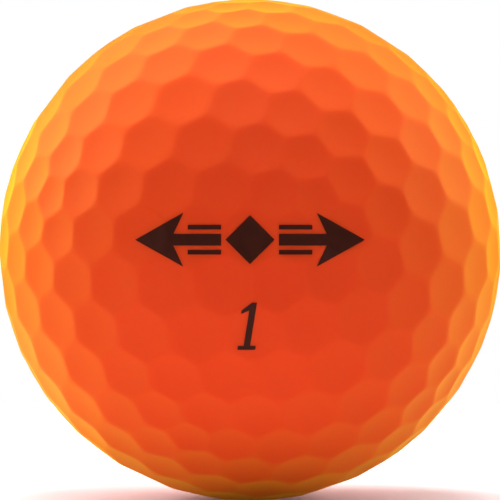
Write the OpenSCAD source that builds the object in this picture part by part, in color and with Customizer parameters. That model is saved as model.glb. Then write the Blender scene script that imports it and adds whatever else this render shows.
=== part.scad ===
// Golf ball: a rubber core, a thin mantle, a dimpled cover, and prints on the front and the back.
// Millimetres. The origin is the centre of the ball, +Z is up and the front print faces -Y.

/* [Ball] */

// Outside diameter over the lands between the dimples
ball_d = 42.67; // [36:0.01:52]
// Thickness of the cover at the lands
cover_t = 1.7; // [1:0.05:3]
// Thickness of the mantle between core and cover
mantle_t = 1.4; // [0.5:0.05:4]

/* [Dimples] */

// Steps of the dimple pattern along one edge of its icosahedron
pattern_steps = 6; // [4:1:7]
// Depth of a dimple below the flat plane of its rim
dimple_depth = 0.12; // [0.04:0.01:0.4]
// Narrowest land left between two dimples
land_w = 0.16; // [0.08:0.01:0.6]

/* [Pattern position] */

// Turn of the front corner dimple to the right, degrees
pattern_turn = 14.5; // [-36:0.1:36]
// Lift of the front corner dimple above the middle, degrees
pattern_lift = 10.8; // [-36:0.1:36]
// Roll of the pattern round the front corner dimple, degrees
pattern_roll = 28.2; // [0:0.1:72]

/* [Wide print] */

// Overall width of the wide print
mark_w = 18; // [13:0.1:22]
// Height of the arrowheads at its ends
mark_h = 4.2; // [2.6:0.1:6]
// Length of each arrowhead
arrow_l = 3.8; // [2:0.1:4.6]
// How far each arrowhead is notched at the back
arrow_notch = 1; // [0.2:0.1:1.6]
// Width of the diamond in its middle
diamond_w = 3.8; // [2:0.1:4.6]
// Height of that diamond
diamond_h = 3.8; // [2:0.1:5]
// Thickness of the middle bar on each side
bar_h = 0.9; // [0.4:0.05:1.2]
// Thickness of the two thin lines beside each middle bar
line_h = 0.35; // [0.2:0.05:0.5]
// Gap between the bar, the thin lines and the diamond
mark_gap = 0.35; // [0.2:0.05:0.5]
// Height of the wide print's middle above the ball's middle
mark_z = 0.8; // [-2:0.1:4]

/* [Number print] */

// Height of the number
number_h = 3.7; // [2.6:0.1:5]
// Thickness of the number's upright stroke
stroke_w = 0.5; // [0.3:0.05:0.9]
// Length of the flag at its top
flag_l = 0.6; // [0.3:0.05:1]
// How far the flag comes down
flag_drop = 0.6; // [0.2:0.05:1]
// Width of the foot under it
foot_w = 1.4; // [1:0.05:2.2]
// Thickness of the foot and of the flag's end
serif_t = 0.3; // [0.2:0.05:0.5]
// Lean of the number to the right, degrees
number_lean = 9; // [0:1:15]
// Space between the wide print and the number
number_gap = 2.8; // [0.5:0.1:4]

/* [Ink] */

// Thickness of the printed ink
ink_t = 0.06; // [0.04:0.01:0.12]

/* [Hidden] */

$fn = 144;

ball_r = ball_d / 2;
mantle_r = ball_r - cover_t;
core_r = mantle_r - mantle_t;

// Colours as they are seen in a preview.
orange = "#ef5a24";
ink_brown = "#3a1a10";
resin_cream = "#e9e3d2";
rubber_green = "#6f7d46";

// The tools that cut the dimples stand this far above the ball.
tool_rise = 0.5;
// They are wider than the rim by this share of the land, so that two of them never touch.
tool_share = 0.4;
tool_margin = land_w * tool_share;

// The ink is cut out of a bar that starts inside the ball and ends well outside it.
bar_share = 0.6;
ink_start = ball_r * bar_share;
ink_reach = ball_r * bar_share;

// The number's middle hangs below the wide print.
number_z = mark_z - mark_h / 2 - number_gap - number_h / 2;
// The number's whole width, with its flag and its lean.
number_w = foot_w + 2 * flag_l + number_h * tan(number_lean);

// The icosahedron has a top corner, an upper ring of five, a lower ring of five and a bottom corner.
ring_lat = atan(0.5);
function polar(lon, lat) = [cos(lat) * cos(lon), cos(lat) * sin(lon), sin(lat)];
function upper(k) = polar(72 * k, ring_lat);
function lower(k) = polar(72 * k + 36, -ring_lat);
top_corner = [0, 0, 1];

corners = concat(
  [top_corner],
  [for (k = [0:4]) upper(k)],
  [for (k = [0:4]) lower(k)],
  [-top_corner]
);
edges = concat(
  [for (k = [0:4]) [top_corner, upper(k)]],
  [for (k = [0:4]) [upper(k), upper(k + 1)]],
  [for (k = [0:4]) [upper(k), lower(k)]],
  [for (k = [0:4]) [lower(k), upper(k + 1)]],
  [for (k = [0:4]) [lower(k), lower(k + 1)]],
  [for (k = [0:4]) [-top_corner, lower(k)]]
);
faces = concat(
  [for (k = [0:4]) [top_corner, upper(k), upper(k + 1)]],
  [for (k = [0:4]) [upper(k), lower(k), upper(k + 1)]],
  [for (k = [0:4]) [lower(k), upper(k + 1), lower(k + 1)]],
  [for (k = [0:4]) [-top_corner, lower(k), lower(k + 1)]]
);

function unit(v) = v / norm(v);
n = pattern_steps;
pattern = concat(
  corners,
  [for (e = edges, i = [1:n - 1]) unit(i * e[0] + (n - i) * e[1])],
  [for (f = faces, i = [1:n - 2], j = [1:n - i - 1]) unit(i * f[0] + j * f[1] + (n - i - j) * f[2])]
);

// Each dimple is as wide as the distance to its nearest neighbour allows.
same_spot = 0.001;
function nearest(p) = min([for (q = pattern) if (norm(p - q) > same_spot) norm(p - q)]);
function rim_r(p) = (ball_r * nearest(p) - land_w) / 2;
rims = [for (p = pattern) rim_r(p)];

// The pattern turned so that its top corner faces the front, then placed on the ball.
function turn_x(v, a) = [v[0], v[1] * cos(a) - v[2] * sin(a), v[1] * sin(a) + v[2] * cos(a)];
function turn_z(v, a) = [v[0] * cos(a) - v[1] * sin(a), v[0] * sin(a) + v[1] * cos(a), v[2]];
function placed(v) = turn_z(turn_x(turn_z(v, pattern_roll), 90 - pattern_lift), pattern_turn);
spots = [for (p = pattern) placed(p)];

// A spherical cap of this rim radius and depth belongs to a sphere of this radius.
function bowl_r(rim) = (rim * rim + dimple_depth * dimple_depth) / (2 * dimple_depth);

module aim(direction) {
  rotate([0, acos(direction[2]), atan2(direction[1], direction[0])])
    children();
}

// One dimple's cutting tool: a short round plug with a bowl-shaped end.
// raise is positive for the outside of a film that lies in the dimple.
module dimple_tool(direction, rim, raise) {
  rim_z = sqrt(ball_r * ball_r - rim * rim);
  floor_z = rim_z - dimple_depth;
  bowl = bowl_r(rim);
  aim(direction)
    intersection() {
      translate([0, 0, floor_z + bowl])
        sphere(r = bowl - raise);
      translate([0, 0, floor_z - tool_rise])
        cylinder(r = rim + tool_margin, h = dimple_depth + 2 * tool_rise + ink_t);
    }
}

module core() {
  color(rubber_green)
    sphere(r = core_r);
}

module mantle() {
  color(resin_cream)
    difference() {
      sphere(r = mantle_r);
      sphere(r = core_r);
    }
}

module cover() {
  color(orange)
    difference() {
      sphere(r = ball_r);
      for (i = [0:len(spots) - 1])
        dimple_tool(spots[i], rims[i], 0);
      sphere(r = mantle_r);
    }
}

// The outside of the cover near a print, or with raise the outside of the ink on it.
module skin(near, raise) {
  difference() {
    sphere(r = ball_r + raise);
    for (i = near)
      dimple_tool(spots[i], rims[i], raise);
  }
}

// The dimples that a print may meet. side is -1 at the front and 1 at the back.
function near_print(side, z, w, h) = [
  for (i = [0:len(spots) - 1])
    if (spots[i][1] * side > 0
      && abs(spots[i][0]) * ball_r < w / 2 + rims[i]
      && abs(spots[i][2] * ball_r - z) < h / 2 + rims[i])
      i
];

// Ink on the cover, in the outline that is drawn in X and Y around [0, 0] and stands at height z.
module ink(side, z, w, h) {
  near = near_print(side, z, w, h);
  color(ink_brown)
    intersection() {
      rotate([90, 0, side < 0 ? 0 : 180])
        translate([0, z, ink_start])
          linear_extrude(height = ink_reach)
            children();
      difference() {
        skin(near, ink_t);
        skin(near, 0);
      }
    }
}

// Half of the wide print, on the +X side.
module arrow_outline() {
  tail_x = diamond_w / 2 + mark_gap;
  base_x = mark_w / 2 - arrow_l;
  // The notch's depth where the bar runs into it.
  neck_x = base_x + arrow_notch * (1 - bar_h / mark_h);
  polygon([
    [tail_x, -bar_h / 2],
    [neck_x, -bar_h / 2],
    [base_x, -mark_h / 2],
    [mark_w / 2, 0],
    [base_x, mark_h / 2],
    [neck_x, bar_h / 2],
    [tail_x, bar_h / 2]
  ]);
  for (up = [-1, 1])
    translate([tail_x, up * (bar_h / 2 + mark_gap + line_h / 2) - line_h / 2])
      square([base_x - mark_gap - tail_x, line_h]);
}

module mark_outline() {
  arrow_outline();
  rotate(180)
    arrow_outline();
  polygon([
    [-diamond_w / 2, 0],
    [0, -diamond_h / 2],
    [diamond_w / 2, 0],
    [0, diamond_h / 2]
  ]);
}

// The number leans about its middle, so that it stays centred.
function leaned(x, y) = [x + (y - number_h / 2) * tan(number_lean), y - number_h / 2];

module number_outline() {
  flag_x = -stroke_w / 2 - flag_l;
  flag_y = number_h - flag_drop;
  polygon([
    leaned(-foot_w / 2, 0),
    leaned(foot_w / 2, 0),
    leaned(foot_w / 2, serif_t),
    leaned(stroke_w / 2, serif_t),
    leaned(stroke_w / 2, number_h),
    leaned(-stroke_w / 4, number_h),
    leaned(flag_x, flag_y),
    leaned(flag_x, flag_y - serif_t),
    leaned(-stroke_w / 2, flag_y),
    leaned(-stroke_w / 2, serif_t),
    leaned(-foot_w / 2, serif_t)
  ]);
}

module front_mark() {
  ink(-1, mark_z, mark_w, mark_h)
    mark_outline();
}

module front_number() {
  ink(-1, number_z, number_w, number_h)
    number_outline();
}

module back_mark() {
  ink(1, mark_z, mark_w, mark_h)
    mark_outline();
}

module back_number() {
  ink(1, number_z, number_w, number_h)
    number_outline();
}

core();
mantle();
cover();
front_mark();
front_number();
back_mark();
back_number();
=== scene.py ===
import math

import bpy
import numpy as np
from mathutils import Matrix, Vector
from mathutils.geometry import delaunay_2d_cdt


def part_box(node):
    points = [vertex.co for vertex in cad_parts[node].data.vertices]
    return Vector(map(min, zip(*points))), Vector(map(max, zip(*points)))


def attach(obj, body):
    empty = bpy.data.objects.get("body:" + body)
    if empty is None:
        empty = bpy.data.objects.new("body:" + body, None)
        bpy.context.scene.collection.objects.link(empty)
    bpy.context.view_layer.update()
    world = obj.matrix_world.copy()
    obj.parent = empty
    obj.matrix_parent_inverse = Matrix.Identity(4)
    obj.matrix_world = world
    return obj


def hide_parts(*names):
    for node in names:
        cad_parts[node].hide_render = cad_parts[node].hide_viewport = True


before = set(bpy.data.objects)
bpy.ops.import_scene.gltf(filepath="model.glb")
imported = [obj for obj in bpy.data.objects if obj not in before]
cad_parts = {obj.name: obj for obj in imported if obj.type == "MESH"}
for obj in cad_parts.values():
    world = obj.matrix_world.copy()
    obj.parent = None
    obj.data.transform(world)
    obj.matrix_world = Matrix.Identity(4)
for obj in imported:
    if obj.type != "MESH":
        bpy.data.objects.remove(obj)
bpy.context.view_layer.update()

MM = 0.001

# ---------------------------------------------------------------- sizes

# The ball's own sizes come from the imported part.
low, high = (np.array(v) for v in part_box("cover"))
CENTRE = (low + high) / 2
BALL_R = float((high - low).max()) / 2
mantle_low, mantle_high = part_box("mantle")
MANTLE_R = float(max(mantle_high - mantle_low)) / 2

# The dimple pattern: an icosahedron's edges in six steps, its front corner turned, lifted and
# rolled, in degrees.
PATTERN_STEPS = 6
PATTERN_TURN, PATTERN_LIFT, PATTERN_ROLL = 14.5, 10.8, 28.2
DIMPLE_DEPTH = 0.20 * MM  # below the round ball
NEIGHBOURS = 6
RIM_SHARE = 1.04  # rim radius against half the mean distance to the neighbours
RIDGE_ROUND = 14.0  # higher is a sharper ridge where two dimples meet
LIP_ROUND = 0.16  # how soft the lip is, as a share of the depth
SKIN_STEPS = 96  # mesh steps along one edge of the icosahedron
INSIDE_STEPS = 24  # the same for the sphere inside the cover

# ---------------------------------------------------------------- the pattern


def polar(lon, lat):
    lon, lat = math.radians(lon), math.radians(lat)
    return np.array(
        [math.cos(lat) * math.cos(lon), math.cos(lat) * math.sin(lon), math.sin(lat)]
    )


RING_LAT = math.degrees(math.atan(0.5))
TOP = np.array([0.0, 0.0, 1.0])
UPPER = [polar(72 * k, RING_LAT) for k in range(6)]
LOWER = [polar(72 * k + 36, -RING_LAT) for k in range(6)]
FACES = (
    [(TOP, UPPER[k], UPPER[k + 1]) for k in range(5)]
    + [(UPPER[k], LOWER[k], UPPER[k + 1]) for k in range(5)]
    + [(UPPER[k + 1], LOWER[k], LOWER[k + 1]) for k in range(5)]
    + [(-TOP, LOWER[k + 1], LOWER[k]) for k in range(5)]
)


def turn(points, axis, degrees):
    """These points turned about an axis, 0 for X and 2 for Z."""
    c, s = math.cos(math.radians(degrees)), math.sin(math.radians(degrees))
    a, b = ((1, 2), (2, 0), (0, 1))[axis]
    out = points.copy()
    out[:, a] = c * points[:, a] - s * points[:, b]
    out[:, b] = s * points[:, a] + c * points[:, b]
    return out


def placed(points):
    """The pattern with its top corner turned to its place on the front of the ball."""
    rolled = turn(points, 2, PATTERN_ROLL)
    lifted = turn(rolled, 0, 90 - PATTERN_LIFT)
    return turn(lifted, 2, PATTERN_TURN)


def geodesic(steps):
    """Directions and triangles of a sphere whose icosahedron edges are cut into steps."""
    points, triangles = [], []
    for a, b, c in FACES:
        index, first = {}, len(points)
        for i in range(steps + 1):
            for j in range(steps + 1 - i):
                index[i, j] = first + len(index)
                points.append(i * a + j * b + (steps - i - j) * c)
        for i in range(steps):
            for j in range(steps - i):
                triangles.append((index[i, j], index[i + 1, j], index[i, j + 1]))
                if i + j < steps - 1:
                    triangles.append(
                        (index[i + 1, j], index[i + 1, j + 1], index[i, j + 1])
                    )
    points = np.array(points)
    points /= np.linalg.norm(points, axis=1)[:, None]
    _, keep, same = np.unique(
        points.round(6), axis=0, return_index=True, return_inverse=True
    )
    return placed(points[keep]), same.reshape(-1)[np.array(triangles)]


SPOTS = geodesic(PATTERN_STEPS)[0]


def angle_between(cosine):
    return np.arccos(np.clip(cosine, -1, 1))


to_each_other = np.sort(angle_between(SPOTS @ SPOTS.T), axis=1)
RIMS = to_each_other[:, 1:NEIGHBOURS].mean(1) / 2 * RIM_SHARE


AT_ONCE = 8192  # directions in one step, to save memory
NEAREST = 4  # dimples that can reach one direction


def depth(directions):
    """How far the cover's surface lies below the round ball, at each direction."""
    out = np.zeros(len(directions))
    for first in range(0, len(directions), AT_ONCE):
        d = directions[first : first + AT_ONCE]
        away = angle_between(d @ SPOTS.T)
        near = np.argpartition(away, NEAREST, axis=1)[:, :NEAREST]
        share = np.take_along_axis(away, near, 1) / RIMS[near]
        bowls = np.exp(RIDGE_ROUND * (1 - share * share))
        bowl = np.log(bowls.sum(1)) / RIDGE_ROUND
        out[first : first + AT_ONCE] = (bowl + np.sqrt(bowl * bowl + LIP_ROUND**2)) / 2
    return out * DIMPLE_DEPTH


# ---------------------------------------------------------------- meshes


def new_object(name, vertices, faces, smooth=True):
    mesh = bpy.data.meshes.new(name)
    mesh.from_pydata(
        [tuple(v) for v in np.asarray(vertices).tolist()],
        [],
        [tuple(f) for f in np.asarray(faces).tolist()]
        if isinstance(faces, np.ndarray)
        else faces,
    )
    mesh.validate()
    if smooth:
        mesh.polygons.foreach_set("use_smooth", [True] * len(mesh.polygons))
    mesh.update()
    o = bpy.data.objects.new(name, mesh)
    bpy.context.scene.collection.objects.link(o)
    return o


def make_cover():
    out, out_faces = geodesic(SKIN_STEPS)
    skin = out * (BALL_R - depth(out))[:, None]
    inside, in_faces = geodesic(INSIDE_STEPS)
    vertices = np.vstack([skin, inside * MANTLE_R]) + CENTRE
    faces = np.vstack([out_faces, in_faces[:, ::-1] + len(skin)])
    return new_object("cover_skin", vertices, faces)


# ---------------------------------------------------------------- prints

INK_T = 0.05 * MM
INK_SUNK = 0.015 * MM  # how far the film reaches into the cover, so that no gap shows
INK_STEP = 0.16 * MM  # mesh step of the film
SKIN_TRIES = 6  # rounds that bring a point onto the dimpled skin
MERGE = 1e-9  # closer points of an outline are one point

# The outlines' sizes, as in the CAD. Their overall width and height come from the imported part.
ARROW_L, ARROW_NOTCH = 3.8 * MM, 1.0 * MM
DIAMOND_W, DIAMOND_H = 3.8 * MM, 3.8 * MM
BAR_H, LINE_H, MARK_GAP = 0.9 * MM, 0.35 * MM, 0.35 * MM
STROKE_W, FLAG_L, FLAG_DROP = 0.5 * MM, 0.6 * MM, 0.6 * MM
FOOT_W, SERIF_T = 1.4 * MM, 0.3 * MM
NUMBER_LEAN = 9  # degrees


def on_skin(x, z, side, lift):
    """Points of the skin at these X and Z, on the front (side -1) or the back (side 1)."""
    y = np.sqrt(BALL_R**2 - x**2 - z**2) * side
    for _ in range(SKIN_TRIES):
        p = np.stack([x, y, z], 1)
        d = p / np.linalg.norm(p, axis=1)[:, None]
        r = BALL_R - depth(d) + lift
        y = np.sqrt(r * r - x**2 - z**2) * side
    return np.stack([x, y, z], 1) + CENTRE


def dense(loop):
    """A closed outline with points at most one ink step apart."""
    out = []
    for k, a in enumerate(loop):
        b = loop[(k + 1) % len(loop)]
        n = max(1, math.ceil(math.dist(a, b) / INK_STEP))
        out += [
            (a[0] + (b[0] - a[0]) * i / n, a[1] + (b[1] - a[1]) * i / n)
            for i in range(n)
        ]
    return out


def make_print(name, loops, z0, side):
    """Ink in these outlines, drawn in metres around the height z0, as a closed film on the skin."""
    vertices, faces = [], []
    for loop in loops:
        outline = dense(loop)
        xs, zs = [p[0] for p in loop], [p[1] for p in loop]
        grid = [
            (x, z)
            for x in np.arange(min(xs), max(xs), INK_STEP) + INK_STEP / 2
            for z in np.arange(min(zs), max(zs), INK_STEP) + INK_STEP / 2
        ]
        # 1 asks for the triangles inside the outline only.
        points, _, tris, _, _, _ = delaunay_2d_cdt(
            [Vector(p) for p in outline + grid], [], [list(range(len(outline)))], 1, MERGE
        )
        used = sorted({v for t in tris for v in t})
        index = {v: i for i, v in enumerate(used)}
        p = np.array([points[v] for v in used])
        tris = [tuple(index[v] for v in t) for t in tris]
        # An outline's X runs to the viewer's right, so it is mirrored on the back.
        x, z = -side * p[:, 0], z0 + p[:, 1]
        top = on_skin(x, z, side, INK_T)
        base = on_skin(x, z, side, -INK_SUNK)
        n, first = len(used), len(vertices)
        edges = [e for a, b, c in tris for e in ((a, b), (b, c), (c, a))]
        known = set(edges)
        rim = [(a, b) for a, b in edges if (b, a) not in known]
        solid = (
            tris
            + [tuple(v + n for v in t[::-1]) for t in tris]
            + [(b, a, a + n, b + n) for a, b in rim]
        )
        vertices += list(np.vstack([top, base]))
        faces += [tuple(v + first for v in f) for f in solid]
    return new_object(name, vertices, faces, smooth=False)


def mirrored(loop):
    return [(-x, -z) for x, z in loop]


def mark_loops(width, height):
    """The wide print: an arrow, a bar and two thin lines on each side of a diamond."""
    tail = DIAMOND_W / 2 + MARK_GAP
    base = width / 2 - ARROW_L
    neck = base + ARROW_NOTCH * (1 - BAR_H / height)
    half = [
        [
            (tail, -BAR_H / 2),
            (neck, -BAR_H / 2),
            (base, -height / 2),
            (width / 2, 0),
            (base, height / 2),
            (neck, BAR_H / 2),
            (tail, BAR_H / 2),
        ]
    ]
    for up in (-1, 1):
        z = up * (BAR_H / 2 + MARK_GAP + LINE_H / 2)
        low_z, high_z, end = z - LINE_H / 2, z + LINE_H / 2, base - MARK_GAP
        half.append([(tail, low_z), (end, low_z), (end, high_z), (tail, high_z)])
    w, h = DIAMOND_W / 2, DIAMOND_H / 2
    diamond = [(-w, 0), (0, -h), (w, 0), (0, h)]
    return half + [mirrored(loop) for loop in half] + [diamond]


def number_loops(_, height):
    """The number 1, leaning about its middle. Its width follows from its parts."""
    slope = math.tan(math.radians(NUMBER_LEAN))
    flag_x, flag_y = -STROKE_W / 2 - FLAG_L, height - FLAG_DROP
    outline = [
        (-FOOT_W / 2, 0),
        (FOOT_W / 2, 0),
        (FOOT_W / 2, SERIF_T),
        (STROKE_W / 2, SERIF_T),
        (STROKE_W / 2, height),
        (-STROKE_W / 4, height),
        (flag_x, flag_y),
        (flag_x, flag_y - SERIF_T),
        (-STROKE_W / 2, flag_y),
        (-STROKE_W / 2, SERIF_T),
        (-FOOT_W / 2, SERIF_T),
    ]
    return [[(x + (z - height / 2) * slope, z - height / 2) for x, z in outline]]


# ---------------------------------------------------------------- materials


def material(name):
    m = bpy.data.materials.new(name)
    m.use_nodes = True
    nodes, links = m.node_tree.nodes, m.node_tree.links
    nodes.clear()
    out = nodes.new("ShaderNodeOutputMaterial")
    shader = nodes.new("ShaderNodeBsdfPrincipled")
    links.new(shader.outputs[0], out.inputs[0])
    return m, nodes, links, shader


def noise(nodes, links, scale, detail, rough=0.5):
    """Noise in the object's own metres, so a higher scale is a finer grain."""
    coordinates = nodes.new("ShaderNodeTexCoord")
    n = nodes.new("ShaderNodeTexNoise")
    n.inputs["Scale"].default_value = scale
    n.inputs["Detail"].default_value = detail
    n.inputs["Roughness"].default_value = rough
    links.new(coordinates.outputs["Object"], n.inputs["Vector"])
    return n.outputs["Fac"]


RAMP_ENDS = (0.3, 0.7)  # the noise varies mostly between these


def vary(nodes, links, shader, factor, *colours):
    """A base colour that drifts between two colours with the noise."""
    ramp = nodes.new("ShaderNodeValToRGB")
    for element, at, colour in zip(ramp.color_ramp.elements, RAMP_ENDS, colours):
        element.position = at
        element.color = (*colour, 1)
    links.new(factor, ramp.inputs[0])
    links.new(ramp.outputs[0], shader.inputs["Base Color"])


def bump(nodes, links, shader, height, distance):
    b = nodes.new("ShaderNodeBump")
    b.inputs["Distance"].default_value = distance
    b.inputs["Strength"].default_value = 1.0
    links.new(height, b.inputs["Height"])
    links.new(b.outputs[0], shader.inputs["Normal"])


def settings(shader, **values):
    """Plain values on the shader's own sockets, with _ for a space in a socket's name."""
    for name, value in values.items():
        shader.inputs[name.replace("_", " ")].default_value = value


def orange_material():
    m, nodes, links, s = material("matte_orange")
    broad = noise(nodes, links, scale=130, detail=2)
    vary(nodes, links, s, broad, (0.78, 0.051, 0.012), (0.80, 0.055, 0.014))
    fine = noise(nodes, links, scale=4200, detail=3)
    bump(nodes, links, s, fine, 0.006 * MM)
    # The yellow sheen makes the ball's edge lighter and yellower than its middle.
    settings(
        s,
        Roughness=0.6,
        IOR=1.46,
        Specular_IOR_Level=0.03,
        Subsurface_Weight=0.6,
        Subsurface_Radius=(1.0, 0.45, 0.12),
        Subsurface_Scale=1.2 * MM,
        Sheen_Weight=0.6,
        Sheen_Roughness=0.46,
        Sheen_Tint=(1.0, 0.95, 0.02, 1),
    )
    return m


def ink_material():
    m, nodes, links, s = material("brown_ink")
    broad = noise(nodes, links, scale=900, detail=3)
    vary(nodes, links, s, broad, (0.036, 0.0055, 0.002), (0.046, 0.0075, 0.003))
    settings(s, Roughness=0.6, Specular_IOR_Level=0.1)
    return m


def resin_material():
    m, nodes, links, s = material("mantle_resin")
    broad = noise(nodes, links, scale=160, detail=3)
    vary(nodes, links, s, broad, (0.74, 0.70, 0.58), (0.82, 0.78, 0.67))
    fine = noise(nodes, links, scale=1800, detail=2)
    bump(nodes, links, s, fine, 0.01 * MM)
    settings(s, Roughness=0.38)
    return m


def rubber_material():
    m, nodes, links, s = material("core_rubber")
    broad = noise(nodes, links, scale=420, detail=5, rough=0.6)
    vary(nodes, links, s, broad, (0.13, 0.26, 0.10), (0.21, 0.36, 0.15))
    fine = noise(nodes, links, scale=2600, detail=4)
    bump(nodes, links, s, fine, 0.03 * MM)
    settings(s, Roughness=0.82)
    return m


def paper_material():
    m, nodes, links, s = material("paper")
    broad = noise(nodes, links, scale=6, detail=2)
    vary(nodes, links, s, broad, (0.80, 0.80, 0.80), (0.82, 0.82, 0.82))
    # The table gives off a little light, as a lit table does.
    settings(s, Roughness=0.9, Emission_Color=(1, 1, 1, 1), Emission_Strength=0.07)
    return m


def paint(o, m):
    o.data.materials.clear()
    o.data.materials.append(m)


def keep(o, node, slot):
    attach(o, "root")
    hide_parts(node)


cover = make_cover()
paint(cover, orange_material())
keep(cover, "cover", "cover_orange")

ink = ink_material()
for side, where in ((-1, "front"), (1, "back")):
    for node, loops in (("mark", mark_loops), ("number", number_loops)):
        name = f"{where}_{node}"
        a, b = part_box(name)
        width, height = b[0] - a[0], b[2] - a[2]
        middle_z = (a[2] + b[2]) / 2 - CENTRE[2]
        film = make_print(name + "_ink", loops(width, height), middle_z, side)
        paint(film, ink)
        keep(film, name, "print_ink")

mantle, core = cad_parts["mantle"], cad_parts["core"]
paint(mantle, resin_material())
paint(core, rubber_material())

# ---------------------------------------------------------------- stage, light and camera

# A round table, small enough that its far, darker part is never in the picture.
FLOOR_Z = float(low[2])
FLOOR_R = 7 * BALL_R
FLOOR_SIDES = 96


def make_floor():
    turns = [2 * math.pi * k / FLOOR_SIDES for k in range(FLOOR_SIDES)]
    rim = [(FLOOR_R * math.cos(t), FLOOR_R * math.sin(t), FLOOR_Z) for t in turns]
    return new_object("floor", rim, [tuple(range(FLOOR_SIDES))])


floor = make_floor()
paint(floor, paper_material())

LAMP_FAR = 14  # in ball radii


def lamp(name, azimuth, elevation, width, power):
    """A soft round lamp this many degrees round to the camera's right and up, as wide in radii."""
    data = bpy.data.lights.new(name, "AREA")
    data.shape = "DISK"
    data.size = width * BALL_R
    data.energy = power
    o = bpy.data.objects.new(name, data)
    bpy.context.scene.collection.objects.link(o)
    a, e = math.radians(azimuth), math.radians(elevation)
    d = Vector((math.sin(a) * math.cos(e), -math.cos(a) * math.cos(e), math.sin(e)))
    o.location = Vector(CENTRE) + d * LAMP_FAR * BALL_R
    o.rotation_euler = (-d).to_track_quat("-Z", "Y").to_euler()
    o.visible_camera = False


lamp("front", azimuth=0, elevation=55, width=9, power=0.29)
lamp("left", azimuth=-90, elevation=25, width=7, power=0.18)
lamp("left_back", azimuth=-115, elevation=25, width=7, power=0.62)
lamp("right_back", azimuth=115, elevation=25, width=7, power=0.47)
lamp("right_high", azimuth=100, elevation=55, width=9, power=0.10)
lamp("back_left_high", azimuth=-135, elevation=55, width=9, power=0.50)
lamp("back_right_high", azimuth=135, elevation=55, width=9, power=0.22)
lamp("top", azimuth=0, elevation=90, width=8, power=0.74)

# The camera sees white all round, but only the lamps and the table light the ball.
world = bpy.data.worlds.new("studio")
bpy.context.scene.world = world
world.use_nodes = True
nodes, links = world.node_tree.nodes, world.node_tree.links
background = nodes["Background"]
background.inputs["Color"].default_value = (1, 1, 1, 1)
seen = nodes.new("ShaderNodeLightPath")
links.new(seen.outputs["Is Camera Ray"], background.inputs["Strength"])

CAMERA_FAR = 11.0  # in ball radii
FILL = 1.0038  # the ball's outline against half the picture
camera_data = bpy.data.cameras.new("camera")
camera = bpy.data.objects.new("camera", camera_data)
bpy.context.scene.collection.objects.link(camera)
bpy.context.scene.camera = camera
camera.location = Vector(CENTRE) + Vector((0, -CAMERA_FAR * BALL_R, 0))
camera.rotation_euler = (math.radians(90), 0, 0)
camera_data.sensor_width = 36
half_view = 1 / math.sqrt(CAMERA_FAR**2 - 1) / FILL
camera_data.lens = camera_data.sensor_width / 2 / half_view
camera_data.clip_start = 0.01
camera_data.clip_end = 10
bpy.context.scene.view_settings.view_transform = "Standard"
bpy.context.scene.view_settings.look = "None"
